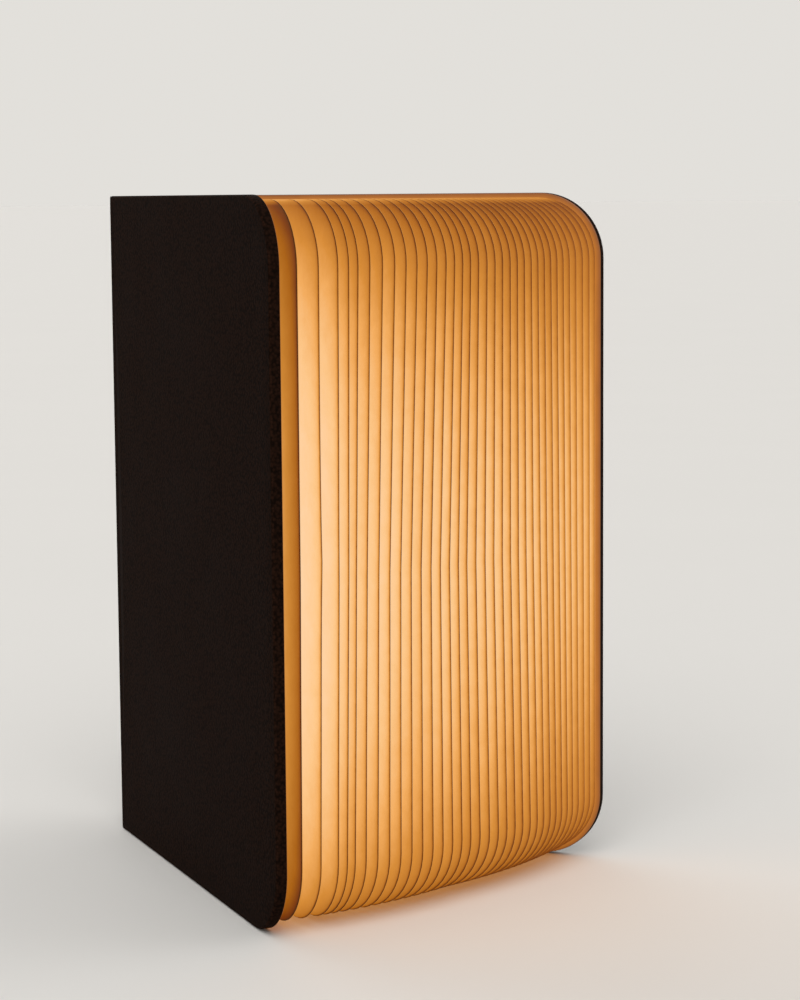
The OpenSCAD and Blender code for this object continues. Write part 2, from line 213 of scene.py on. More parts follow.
def coverLeather():
    # Bonded leather, dyed espresso: near black and almost without sheen, pebbled, with painted shade
    # darkening the creases between the pebbles, and browner where the edges and folds rub.
    material, tree, shader, place = newMaterial("coverLeather")
    cloud = addNode(tree, "TexNoise", {"Vector": place, "Scale": 22.0, "Detail": 4.0, "Roughness": 0.6})
    base = addNode(tree, "Mix", {"data_type": "RGBA", 0: cloud.outputs["Fac"], 6: linearColour("#1a0e09"),
                                 7: linearColour("#22140d")})
    rim = addNode(tree, "Attribute", {"attribute_name": "rim"})
    scuff = addNode(tree, "TexNoise", {"Vector": place, "Scale": 260.0, "Detail": 3.0})
    wear = addNode(tree, "Math", {"operation": "MULTIPLY", 0: rim.outputs["Fac"], 1: scuff.outputs["Fac"]})
    worn = addNode(tree, "Mix", {"data_type": "RGBA", 0: wear.outputs[0], 6: base.outputs[2],
                                 7: linearColour("#2c1a12")})
    # pebbles 0.9 mm across, with pores of 0.25 mm in them
    grain = addNode(tree, "TexVoronoi", {"Vector": place, "Scale": 1100.0, "feature": "SMOOTH_F1",
                                         "Smoothness": 0.5, "Randomness": 0.95})
    pores = addNode(tree, "TexNoise", {"Vector": place, "Scale": 4000.0, "Detail": 2.0})
    height = addNode(tree, "Math", {"operation": "MULTIPLY_ADD", 0: pores.outputs["Fac"], 1: 0.3,
                                    2: grain.outputs["Distance"]})
    # painted shade: the creases and pores between the pebbles are coloured darker
    creaseShade = addNode(tree, "MapRange", {"Value": height.outputs[0], "From Min": 0.46, "From Max": 0.86})
    colour = addNode(tree, "Mix", {"data_type": "RGBA", 0: creaseShade.outputs["Result"], 6: worn.outputs[2],
                                   7: linearColour("#100906")})
    bump = addNode(tree, "Bump", {"Strength": 0.6, "Distance": 0.00012, "invert": True,
                                  "Height": height.outputs[0]})
    gloss = addNode(tree, "MapRange", {"Value": cloud.outputs["Fac"], "From Min": 0.3, "From Max": 0.7,
                                       "To Min": 0.54, "To Max": 0.6})
    setShader(tree, shader, {"Base Color": colour.outputs[2], "Roughness": gloss.outputs["Result"],
                             "Normal": bump.outputs["Normal"], "Specular IOR Level": 0.006, "IOR": 1.45})
    return material


def borderLeather():
    # The turned-in border inside a cover: the same leather, but it catches the light that comes out past
    # the pages.
    material, tree, shader, place = newMaterial("borderLeather")
    cloud = addNode(tree, "TexNoise", {"Vector": place, "Scale": 120.0, "Detail": 4.0})
    base = addNode(tree, "Mix", {"data_type": "RGBA", 0: cloud.outputs["Fac"], 6: linearColour("#2e190d"),
                                 7: linearColour("#3e2414")})
    lit = addNode(tree, "Attribute", {"attribute_name": "lit"})
    shade = addNode(tree, "Math", {"operation": "MULTIPLY_ADD", 0: cloud.outputs["Fac"], 1: 0.3, 2: 0.85})
    level = addNode(tree, "Math", {"operation": "MULTIPLY", 0: lit.outputs["Fac"], 1: shade.outputs[0]})
    glow = fillRamp(addNode(tree, "ValToRGB", {"Fac": level.outputs[0]}),
                    [(0.0, "#000000"), (0.5, "#864a12"), (1.0, "#c27527")])
    grain = addNode(tree, "TexVoronoi", {"Vector": place, "Scale": 1100.0, "feature": "SMOOTH_F1"})
    bump = addNode(tree, "Bump", {"Strength": 0.3, "Distance": 0.0001, "Height": grain.outputs["Distance"]})
    setShader(tree, shader, {"Base Color": base.outputs[2], "Roughness": 0.55,
                             "Normal": bump.outputs["Normal"], "Emission Color": glow.outputs["Color"],
                             "Emission Strength": 1.0})
    return material


def pressedBoard():
    # Bookbinder's grey board, pressed from waste paper: matt, felted, with fibres and darker specks.
    material, tree, shader, place = newMaterial("pressedBoard")
    fibre = addNode(tree, "TexNoise", {"Vector": place, "Scale": 900.0, "Detail": 6.0, "Distortion": 2.5})
    speck = addNode(tree, "TexVoronoi", {"Vector": place, "Scale": 520.0, "Randomness": 1.0})
    tone = addNode(tree, "Math", {"operation": "MULTIPLY", 0: fibre.outputs["Fac"],
                                  1: speck.outputs["Distance"]})
    colour = fillRamp(addNode(tree, "ValToRGB", {"Fac": tone.outputs[0]}),
                      [(0.0, "#6f5a40"), (0.25, "#94795a"), (0.6, "#a98d69")])
    bump = addNode(tree, "Bump", {"Strength": 0.5, "Distance": 0.0001, "Height": fibre.outputs["Fac"]})
    setShader(tree, shader, {"Base Color": colour.outputs["Color"], "Roughness": 0.92,
                             "Normal": bump.outputs["Normal"]})
    return material


def liningPaper():
    # Dyed book lining paper: brown, matt, laid lines 1.6 mm apart and soft clouds in the dye, with a painted
    # glow for the light that the pages throw on it.
    material, tree, shader, place = newMaterial("liningPaper")
    cloud = addNode(tree, "TexNoise", {"Vector": place, "Scale": 60.0, "Detail": 5.0})
    laid = addNode(tree, "TexWave", {"Vector": place, "Scale": 196.0, "Distortion": 0.6, "Detail": 2.0,
                                     "bands_direction": "Z"})
    tone = addNode(tree, "Math", {"operation": "MULTIPLY_ADD", 0: laid.outputs["Fac"], 1: 0.25,
                                  2: cloud.outputs["Fac"]})
    colour = fillRamp(addNode(tree, "ValToRGB", {"Fac": tone.outputs[0]}),
                      [(0.25, "#4a2c1a"), (0.9, "#6b4226")])
    bump = addNode(tree, "Bump", {"Strength": 0.25, "Distance": 0.00006, "Height": laid.outputs["Fac"]})
    # the emission is painted light: the pages' light falling on the lining
    setShader(tree, shader, {"Base Color": colour.outputs["Color"], "Roughness": 0.85,
                             "Normal": bump.outputs["Normal"], "Emission Color": linearColour("#94501a"),
                             "Emission Strength": 0.8})
    return material


def plainMetal(name, colour, roughness, scratchScale, stretch, bumpDepth):
    # A plated or rolled metal: fine scratches along one direction break up its shine.
    material, tree, shader, place = newMaterial(name)
    along = addNode(tree, "Mapping", {"Vector": place, "Scale": stretch})
    scratch = addNode(tree, "TexNoise", {"Vector": along.outputs["Vector"], "Scale": scratchScale,
                                         "Detail": 3.0})
    cloud = addNode(tree, "TexNoise", {"Vector": place, "Scale": 140.0, "Detail": 3.0})
    tone = addNode(tree, "Mix", {"data_type": "RGBA", 0: cloud.outputs["Fac"], 6: linearColour(colour, 0.86),
                                 7: linearColour(colour, 1.06)})
    gloss = addNode(tree, "MapRange", {"Value": scratch.outputs["Fac"], "From Min": 0.3, "From Max": 0.7,
                                       "To Min": roughness - 0.07, "To Max": roughness + 0.09})
    bump = addNode(tree, "Bump", {"Strength": 0.3, "Distance": bumpDepth, "Height": scratch.outputs["Fac"]})
    setShader(tree, shader, {"Base Color": tone.outputs[2], "Metallic": 1.0,
                             "Roughness": gloss.outputs["Result"], "Normal": bump.outputs["Normal"]})
    return material


def plainPlastic(name, colour, second, roughness, textureScale, bumpDepth, more=None):
    # A moulded or coated plastic: spark-eroded mould texture, a faint drift in tone and shine.
    material, tree, shader, place = newMaterial(name)
    cloud = addNode(tree, "TexNoise", {"Vector": place, "Scale": 90.0, "Detail": 4.0})
    texture = addNode(tree, "TexNoise", {"Vector": place, "Scale": textureScale, "Detail": 2.0})
    tone = addNode(tree, "Mix", {"data_type": "RGBA", 0: cloud.outputs["Fac"], 6: linearColour(colour),
                                 7: linearColour(second)})
    gloss = addNode(tree, "MapRange", {"Value": texture.outputs["Fac"], "From Min": 0.3, "From Max": 0.7,
                                       "To Min": roughness - 0.05, "To Max": roughness + 0.07})
    bump = addNode(tree, "Bump", {"Strength": 0.4, "Distance": bumpDepth, "Height": texture.outputs["Fac"]})
    setShader(tree, shader, {"Base Color": tone.outputs[2], "Roughness": gloss.outputs["Result"],
                             "Normal": bump.outputs["Normal"], **(more or {})})
    return material


lightRow = {
    "pitch": 15.42, "first": 22.71,       # mm from light to light, and the height of the first
    "window": 1.1, "windowBlur": 0.05,    # radius of a light's window, and half the width of its soft edge
}


def frostedDiffuser():
    # Frosted acrylic over the row of lights: milky, matt, brighter in front of each light.
    material, tree, shader, place = newMaterial("frostedDiffuser")
    frost = addNode(tree, "TexNoise", {"Vector": place, "Scale": 2600.0, "Detail": 2.0})
    spots = addNode(tree, "SeparateXYZ", {"Vector": place})
    # one wave for each light: cos(2 pi (z - first) / pitch)
    turns = 2 * math.pi / (lightRow["pitch"] * mm)
    phase = addNode(tree, "Math", {"operation": "MULTIPLY_ADD", 0: spots.outputs["Z"], 1: turns,
                                   2: -turns * lightRow["first"] * mm})
    wave = addNode(tree, "Math", {"operation": "COSINE", 0: phase.outputs[0]})
    level = addNode(tree, "MapRange", {"Value": wave.outputs[0], "From Min": -1.0, "From Max": 1.0,
                                       "To Min": 0.0, "To Max": 1.0})
    glow = fillRamp(addNode(tree, "ValToRGB", {"Fac": level.outputs["Result"]}),
                    [(0.0, "#f6b878"), (1.0, "#ffd9a6")])
    bump = addNode(tree, "Bump", {"Strength": 0.2, "Distance": 0.00003, "Height": frost.outputs["Fac"]})
    setShader(tree, shader, {"Base Color": linearColour("#f3e6cf"), "Roughness": 0.55,
                             "Normal": bump.outputs["Normal"], "Emission Color": glow.outputs["Color"],
                             "Emission Strength": 0.9})
    return material


def circuitBoard(name, mask, copper, traceScale):
    # Solder mask over copper: the tracks show as slightly lighter raised lines 0.4 mm wide, with round
    # tinned pads.
    material, tree, shader, place = newMaterial(name)
    tracks = addNode(tree, "TexBrick", {"Vector": place, "Color1": [1, 1, 1, 1],
                                        "Color2": [0.85, 0.85, 0.85, 1], "Mortar": [0, 0, 0, 1],
                                        "Scale": traceScale, "Mortar Size": 0.035, "Brick Width": 0.9,
                                        "Row Height": 0.45, "offset": 0.35})
    pads = addNode(tree, "TexVoronoi", {"Vector": place, "Scale": 210.0, "Randomness": 0.35})
    isPad = addNode(tree, "Math", {"operation": "LESS_THAN", 0: pads.outputs["Distance"], 1: 0.12})
    masked = addNode(tree, "Mix", {"data_type": "RGBA", 0: tracks.outputs["Color"], 6: linearColour(copper),
                                   7: linearColour(mask)})
    colour = addNode(tree, "Mix", {"data_type": "RGBA", 0: isPad.outputs[0], 6: masked.outputs[2],
                                   7: linearColour("#c9c6be")})
    gloss = addNode(tree, "MapRange", {"Value": isPad.outputs[0], "To Min": 0.36, "To Max": 0.24})
    bump = addNode(tree, "Bump", {"Strength": 0.5, "Distance": 0.00004, "Height": tracks.outputs["Fac"]})
    setShader(tree, shader, {"Base Color": colour.outputs[2], "Roughness": gloss.outputs["Result"],
                             "Normal": bump.outputs["Normal"], "Metallic": isPad.outputs[0]})
    return material


def lightBodies():
    # White moulded light bodies with a round phosphor window that glows warm.
    material, tree, shader, place = newMaterial("lightBodies")
    axes = addNode(tree, "SeparateXYZ", {"Vector": place})
    # distance from the nearest light's middle: x, and z wrapped to the pitch
    pitch, first = lightRow["pitch"] * mm, lightRow["first"] * mm
    centred = addNode(tree, "Math", {"operation": "SUBTRACT", 0: axes.outputs["Z"], 1: first - pitch / 2})
    wrapped = addNode(tree, "Math", {"operation": "FLOORED_MODULO", 0: centred.outputs[0], 1: pitch})
    fromMiddle = addNode(tree, "Math", {"operation": "SUBTRACT", 0: wrapped.outputs[0], 1: pitch / 2})
    pair = addNode(tree, "CombineXYZ", {"X": axes.outputs["X"], "Z": fromMiddle.outputs[0]})
    distance = addNode(tree, "VectorMath", {"operation": "LENGTH", 0: pair.outputs[0]})
    window = addNode(tree, "MapRange", {"Value": distance.outputs["Value"],
                                        "From Min": (lightRow["window"] + lightRow["windowBlur"]) * mm,
                                        "From Max": (lightRow["window"] - lightRow["windowBlur"]) * mm})
    colour = addNode(tree, "Mix", {"data_type": "RGBA", 0: window.outputs["Result"],
                                   6: linearColour("#efeade"), 7: linearColour("#eeb444")})
    glow = addNode(tree, "Mix", {"data_type": "RGBA", 0: window.outputs["Result"], 6: linearColour("#6b4a26"),
                                 7: linearColour("#ffd596")})
    gloss = addNode(tree, "MapRange", {"Value": window.outputs["Result"], "To Min": 0.5, "To Max": 0.18})
    setShader(tree, shader, {"Base Color": colour.outputs[2], "Roughness": gloss.outputs["Result"],
                             "Emission Color": glow.outputs[2], "Emission Strength": 1.0})
    return material


def litPage():
    # Spun-bonded polyethylene page, lit from behind, its light painted on as emission: milky, cloudy fibres,
    # palest deep between the pages and browner towards the fore-edge where less light gets out. The glow
    # field holds how much light reaches each point.
    material, tree, shader, place = newMaterial("litPage")
    glow = addNode(tree, "Attribute", {"attribute_name": "glow"})
    # fibre clouds 6 mm across, and single fibres 0.5 mm wide, drawn coarser than life so that they show
    cloud = addNode(tree, "TexNoise", {"Vector": place, "Scale": 150.0, "Detail": 4.0, "Roughness": 0.6})
    along = addNode(tree, "Mapping", {"Vector": place, "Scale": (1.0, 1.0, 0.3)})
    fibre = addNode(tree, "TexNoise", {"Vector": along.outputs["Vector"], "Scale": 1700.0, "Detail": 3.0,
                                       "Distortion": 1.5})
    drift = addNode(tree, "MapRange", {"Value": cloud.outputs["Fac"], "From Min": 0.25, "From Max": 0.75,
                                       "To Min": 0.94, "To Max": 1.06})
    strand = addNode(tree, "MapRange", {"Value": fibre.outputs["Fac"], "From Min": 0.25, "From Max": 0.75,
                                        "To Min": 0.96, "To Max": 1.04})
    mottle = addNode(tree, "Math", {"operation": "MULTIPLY", 0: drift.outputs["Result"],
                                    1: strand.outputs["Result"]})
    level = addNode(tree, "Math", {"operation": "MULTIPLY", 0: glow.outputs["Fac"], 1: mottle.outputs[0]})
    # the line between two pages is painted shade, and not even: every 2 to 3 mm they touch, and a dot
    #     # of it is darker
    rim = addNode(tree, "Attribute", {"attribute_name": "rim"})
    touch = addNode(tree, "TexNoise", {"Vector": place, "Scale": 420.0, "Detail": 1.0})
    dots = addNode(tree, "MapRange", {"Value": touch.outputs["Fac"], "From Min": 0.35, "From Max": 0.65,
                                      "To Min": -0.35, "To Max": 0.2})
    dotted = addNode(tree, "Math", {"operation": "MULTIPLY_ADD", 0: rim.outputs["Fac"],
                                    1: dots.outputs["Result"], 2: 1.0})
    level = addNode(tree, "Math", {"operation": "MULTIPLY", 0: level.outputs[0], 1: dotted.outputs[0]})
    light = fillRamp(addNode(tree, "ValToRGB", {"Fac": level.outputs[0]}),
                     [(0.0, "#000000"), (0.06, "#5c2600"), (0.16, "#9a5b0f"), (0.38, "#c48434"),
                      (0.56, "#dfa45b"), (0.77, "#e8be85"), (1.0, "#eacaa2")])
    paper = addNode(tree, "Mix", {"data_type": "RGBA", 0: cloud.outputs["Fac"], 6: linearColour("#6a4626"),
                                  7: linearColour("#764f2c")})
    # the base colour is darkened by the same painted shade along the rim
    tone = addNode(tree, "Mix", {"data_type": "RGBA", 0: rim.outputs["Fac"], 6: paper.outputs[2],
                                 7: linearColour("#331806")})
    bump = addNode(tree, "Bump", {"Strength": 0.15, "Distance": 0.00005, "Height": fibre.outputs["Fac"]})
    setShader(tree, shader, {"Base Color": tone.outputs[2], "Roughness": 0.72,
                             "Normal": bump.outputs["Normal"], "Specular IOR Level": 0.25,
                             "Emission Color": light.outputs["Color"], "Emission Strength": 1.0})
    return material


def pageEdge():
    # The cut edge of a page: it catches the light as a fine cream line beside the dark rim, brighter where
    # edgeLit is high.
    material, tree, shader, place = newMaterial("pageEdge")
    cloud = addNode(tree, "TexNoise", {"Vector": place, "Scale": 300.0, "Detail": 3.0})
    tone = addNode(tree, "Mix", {"data_type": "RGBA", 0: cloud.outputs["Fac"], 6: linearColour("#6a4626"),
                                 7: linearColour("#764f2c")})
    lit = addNode(tree, "Attribute", {"attribute_name": "edgeLit"})
    glow = fillRamp(addNode(tree, "ValToRGB", {"Fac": lit.outputs["Fac"]}),
                    [(0.0, "#3a1c04"), (0.5, "#c48434"), (1.0, "#eacaa2")])
    setShader(tree, shader, {"Base Color": tone.outputs[2], "Roughness": 0.8, "Specular IOR Level": 0.2,
                             "Emission Color": glow.outputs["Color"], "Emission Strength": 1.0})
    return material


finish = {
    "leather": coverLeather(),
    "border": borderLeather(),
    "board": pressedBoard(),
    "lining": liningPaper(),
    "nickel": plainMetal("nickelPlate", "#c9c8c4", 0.22, 900.0, (1.0, 1.0, 1.0), 0.00001),
    "zinc": plainMetal("zincSteel", "#b9bcc0", 0.34, 1500.0, (1.0, 1.0, 1.0), 0.00001),
    "aluminium": plainMetal("anodisedAluminium", "#c6c8ca", 0.36, 2200.0, (1.0, 1.0, 0.012), 0.00002),
    "stainless": plainMetal("stampedStainless", "#b8babc", 0.26, 1400.0, (1.0, 1.0, 0.1), 0.00001),
    "diffuser": frostedDiffuser(),
    "whiteBoard": circuitBoard("whiteCircuitBoard", "#e9e9e4", "#dcd8cc", 190.0),
    "greenBoard": circuitBoard("greenCircuitBoard", "#12402a", "#1f6a44", 260.0),
    "lights": lightBodies(),
    "blackPlastic": plainPlastic("mouldedBlackPlastic", "#191715", "#211e1b", 0.5, 2600.0, 0.00003),
    "cellWrap": plainPlastic("cellShrinkWrap", "#2b5b9c", "#356aae", 0.24, 300.0, 0.00004,
                             {"Coat Weight": 0.4}),
    "leadWire": plainPlastic("leadInsulation", "#8f1712", "#a5221b", 0.4, 1800.0, 0.00001),
    "reedGlass": plainPlastic("reedGlass", "#9fc3b4", "#a9cdbd", 0.12, 500.0, 0.000005,
                              {"Transmission Weight": 0.6, "IOR": 1.5}),
    "page": litPage(),
    "pageEdge": pageEdge(),
}
nodeFinish = {
    "spine_board": "board", "right_board": "board", "left_board": "board",
    "right_liner": "lining", "left_liner": "lining",
    "right_magnets": "nickel", "left_magnets": "nickel", "switch_magnet": "nickel",
    "cap_screws": "zinc", "channel_screws": "zinc", "light_channel": "aluminium", "diffuser": "diffuser",
    "light_board": "whiteBoard", "lights": "lights", "control_board": "greenBoard",
    "board_header": "blackPlastic",
    "cell": "cellWrap", "cell_leads": "leadWire", "charge_socket": "stainless", "reed_switch": "reedGlass",
    "bottom_cap": "blackPlastic", "top_cap": "blackPlastic",
    "spine_skin": "leather", "right_skin": "leather", "left_skin": "leather",
}
for nodeName, finishName in nodeFinish.items():
    solid = frame["nodes"][nodeName]
    solid.data.materials.clear()
    solid.data.materials.append(finish[finishName])
print("materials made")


# Leather: two covers, the spine and the folds between them

cover = {
    "edgeRound": 0.7,      # radius in mm where the leather turns over a board's edge
    "innerRound": 0.45,    # the same on the inside
    "leather": 0.33,       # thickness of the leather
    "pillow": 0.03,        # mm that the outer face rises and falls where the board shows through
    "pillowFade": 12.0,    # mm from the edges over which that comes in
    "steps": (24, 17, 30),   # points along the head, round a corner and down the fore-edge
    "pleats": 11, "pleatDepth": 0.09,    # small gathers of the turned-in border at each rounded corner
    "stepWide": 0.12, "stepRound": 0.1,  # the border's own cut edge, down to the lining
    "wornEdge": 0.9, "wornElse": 0.15,   # how rubbed the leather is on the outer edges and beyond them
    "borderRing": 9,       # the ring of the edge profile from which the border's own finish shows
    "borderLit": 1.0,      # light that the inner border catches
    "borderFrom": 0.8,     # share of the cover's thickness at which it starts
    "borderGrow": 1.6,     # mm inwards over which it doubles
    "borderDrop": 0.12,    # how much less of it there is at the head and the foot
}
fold = {
    "wide": 3.4,           # mm from the hinge line to either side
    "proud": 0.13,         # mm that the strip stands out in its middle
    "sunk": 0.02,          # mm that it lies in at its sides
    "arc": 0.16,           # share of its half width over which it turns
    "flat": 0.08,          # share of it that stays on the hinge line
    "rows": 60,            # rows up the strip
    "endFade": 0.8, "endDrop": 0.25,     # mm over which its ends go down, and how far
    "wrinkle": 0.12,       # share by which its height varies
    "rub": 0.8, "rubWide": 0.3,          # how rubbed its middle is, and how wide
    "leather": 0.1,        # its thickness in mm
}


def coverOutline(inset, start):
    # Outline of a cover seen flat, open at the hinge: out along the top at height H - inset, round the corner
    # of radius R - inset, down the fore-edge, round the second corner and back along the foot.
    radius = max(book["cornerRadius"] - inset, 1.0)
    wide, high = book["coverWidth"] - inset, book["height"] - inset
    alongSteps, turnSteps, downSteps = cover["steps"]
    turn = np.linspace(0, math.pi / 2, turnSteps + 2)[1:-1]
    along = np.linspace(start, wide - radius, alongSteps)
    down = np.linspace(high - radius, inset + radius, downSteps)
    level, upright = 0 * along, 0 * down
    u = np.concatenate([along, wide - radius + radius * np.sin(turn), upright + wide,
                        wide - radius + radius * np.cos(turn), along[::-1]])
    z = np.concatenate([level + high, high - radius + radius * np.cos(turn), down,
                        inset + radius - radius * np.sin(turn), level + inset])
    gather = np.concatenate([level, np.sin(turn), upright, np.sin(turn), level])
    phase = np.concatenate([level, turn, upright, turn, level])
    return u, z, gather, phase


def edgeProfile():
    # How the leather goes over an edge, as (inset, depth) pairs: quarter circle, flat side, quarter circle,
    # flat border, and a last small step down to the lining.
    outer, inner, border = cover["edgeRound"], cover["innerRound"], book["turnIn"]
    turn = np.linspace(0, math.pi / 2, 7)
    inset = np.concatenate([outer * (1 - np.sin(turn)), inner * (1 - np.cos(turn)),
                            [border * 0.35, border * 0.62, border - cover["stepWide"], border, border]])
    down = coverThick - np.array([0, 0, 0, cover["stepRound"], cover["leather"]])
    depth = np.concatenate([outer * (1 - np.cos(turn)), coverThick - inner * (1 - np.sin(turn)), down])
    return inset, depth


def hingeGap(depth):
    # How far from a hinge line the leather ends: the mitre times the sum of its depth and its own thickness,
    # the thickness counting by how squarely the leather faces out.
    facing = np.clip(1 - depth / cover["edgeRound"], 0, 1)
    return (depth + cover["leather"] * facing) * mitre


def makeCoverLeather(name, side):
    # Rings from the hinge line out over the face, then over the edge and in along the border:
    # the face is (1 - t) hinge end + t outline, and each edge ring is the outline at its own inset and depth.
    faceShare = np.concatenate([np.linspace(0, 0.96, 26), [1.0]])
    inset, depth = edgeProfile()
    hingeEnd = hingeGap(0.0)
    u0, z0, _, _ = coverOutline(inset[0], hingeEnd)
    step = np.hypot(np.diff(u0), np.diff(z0))
    walked = np.concatenate([[0], np.cumsum(step)]) / step.sum()
    hingeZ = z0[0] + (z0[-1] - z0[0]) * walked
    faceU = hingeEnd + faceShare[:, None] * (u0 - hingeEnd)[None, :]
    faceZ = hingeZ[None, :] + faceShare[:, None] * (z0 - hingeZ)[None, :]
    fromEdges = [faceU - hingeEnd, book["coverWidth"] - faceU, faceZ, book["height"] - faceZ]
    inside = np.clip(np.min(fromEdges, axis=0) / cover["pillowFade"], 0, 1)
    # the pillow: waves 76 mm across and 103 mm up, and shorter ones at half their height aslant
    wave = np.sin(faceU * 0.083 + 1.3 * side) * np.sin(faceZ * 0.061 + 0.7)
    wave = wave + 0.5 * np.sin(faceU * 0.19 + faceZ * 0.13)
    faceD = cover["pillow"] * inside * (0.9 + wave)
    ringU, ringZ, ringD, rim, lit = [faceU], [faceZ], [faceD], [0 * faceU], [0 * faceU]
    for i, d in zip(inset[1:], depth[1:]):
        u, z, gather, phase = coverOutline(i, hingeGap(d))
        acrossBorder = np.clip((i - cover["innerRound"]) / (book["turnIn"] - cover["innerRound"]), 0, 1)
        onBorder = acrossBorder * (d > coverThick - cover["leather"] / 2)
        pleat = cover["pleatDepth"] * onBorder * gather * np.abs(np.sin(cover["pleats"] * phase))
        ringU.append(u[None, :])
        ringZ.append(z[None, :])
        ringD.append((d - pleat)[None, :])
        onEdge = i > 0 and d < cover["edgeRound"]
        rim.append(np.full((1, len(u)), cover["wornEdge"] if onEdge else cover["wornElse"]))
        inward = np.clip((d / coverThick - cover["borderFrom"]) / (1 - cover["borderFrom"]), 0, 1) * (i > 0)
        inward = inward * (0.5 + 0.5 * min(i / cover["borderGrow"], 1.0))
        upDown = 1 - cover["borderDrop"] * (np.abs(z - pages["glowMiddle"]) / pages["glowReach"]) ** 2
        lit.append((inward * cover["borderLit"] * upDown)[None, :])
    u, z, d = (np.concatenate(part) for part in (ringU, ringZ, ringD))
    rows, columns = u.shape
    points = onSide(u, d, z, side, book["openAngle"]).reshape(-1, 3)
    quads = gridFaces(rows, columns)
    quads = quads if side < 0 else quads[:, ::-1]
    slots = np.zeros(len(quads), int)
    slots[(len(faceShare) - 1 + cover["borderRing"]) * (columns - 1):] = 1
    piece = makePiece(name, points, quads, [finish["leather"], finish["border"]], slots,
                      {"rim": np.concatenate(rim).ravel(), "lit": np.concatenate(lit).ravel()},
                      smoothAngle=50.0)
    thicken(piece, cover["leather"])
    return piece


def thicken(piece, thick):
    # Gives a sheet its thickness in mm, inwards from its face.
    shell = piece.modifiers.new("thickness", "SOLIDIFY")
    shell.thickness, shell.offset, shell.use_even_offset = thick * mm, -1.0, False


def makeSpineLeather():
    # The edge profile carried across the spine: border, edge, face, edge, border, each point at
    # x = share x (half spine - hinge gap).
    inset, depth = edgeProfile()
    faceZ = np.linspace(inset[0], book["height"] - inset[0], 50)[1:-1]
    z = np.concatenate([inset[::-1], faceZ, book["height"] - inset])
    d = np.concatenate([depth[::-1], 0 * faceZ, depth])
    share = np.linspace(-1, 1, 17)
    half = book["spineWidth"] / 2 - hingeGap(d)
    x = share[None, :] * half[:, None]
    fromEnd = np.minimum(z, book["height"] - z)
    inside = np.clip(fromEnd / cover["pillowFade"], 0, 1)[:, None] * (1 - share ** 4)[None, :]
    wave = np.sin(z * 0.07)[:, None] * np.cos(share * 2)[None, :]
    deep = d[:, None] + cover["pillow"] * inside * (0.9 + wave)
    points = np.stack([x, hingeY - deep, z[:, None] + 0 * x], -1).reshape(-1, 3) * mm
    quads = gridFaces(len(z), len(share))[:, ::-1]
    worn = (d < cover["edgeRound"] * 1.2) * (fromEnd < cover["edgeRound"] * 1.2)
    rim = (worn[:, None] + 0 * x).ravel()
    piece = makePiece("leatherSpine", points, quads, [finish["leather"]], fields={"rim": rim},
                      smoothAngle=50.0)
    thicken(piece, cover["leather"])
    return piece


def makeFold(name, side):
    # The bending strip of leather along a hinge line. Its section runs along the spine's face, round the
    # hinge line in an arc, and along the cover's face, and stands proud by h (1 - s^2) at s of its half
    # width, less towards its ends by the root of 1 - (1 - fade)^2.
    s = np.linspace(-1, 1, 25)
    proud = fold["proud"] * (1 - s * s) - fold["sunk"]
    halfTurn = (90 - book["openAngle"]) / 2
    normal = np.radians(90 - halfTurn - halfTurn * np.clip(s / fold["arc"], -1, 1))
    out = np.maximum(np.abs(s) - fold["flat"], 0) * fold["wide"] * np.sign(s)
    a = math.radians(book["openAngle"])
    baseX = book["spineWidth"] / 2 + np.where(s < 0, out, out * math.sin(a))
    baseY = hingeY - np.where(s < 0, 0, out * math.cos(a))
    end, high = fold["endFade"], book["height"]
    z = np.concatenate([[0.12, 0.35], np.linspace(end, high - end, fold["rows"]), [high - 0.35, high - 0.12]])
    fade = np.clip(np.minimum(z, high - z) / end, 0, 1)[:, None]
    lift = proud[None, :] * np.sqrt(np.clip(1 - (1 - fade) ** 2, 0, 1)) - fold["endDrop"] * (1 - fade) ** 2
    creaseShade = 1 + fold["wrinkle"] * np.sin(z * 0.9)[:, None] * np.cos(s * 5)[None, :]
    x = side * (baseX[None, :] + lift * creaseShade * np.cos(normal)[None, :])
    y = baseY[None, :] + lift * creaseShade * np.sin(normal)[None, :]
    points = np.stack([x, y, z[:, None] + 0 * x], -1).reshape(-1, 3) * mm
    quads = gridFaces(len(z), len(s))
    quads = quads if side < 0 else quads[:, ::-1]
    rim = (0 * x + fold["rub"] * np.exp(-(s / fold["rubWide"]) ** 2)[None, :]).ravel()
    piece = makePiece(name, points, quads, [finish["leather"]], fields={"rim": rim}, smoothAngle=60.0)
    thicken(piece, fold["leather"])
    return piece


# Pages

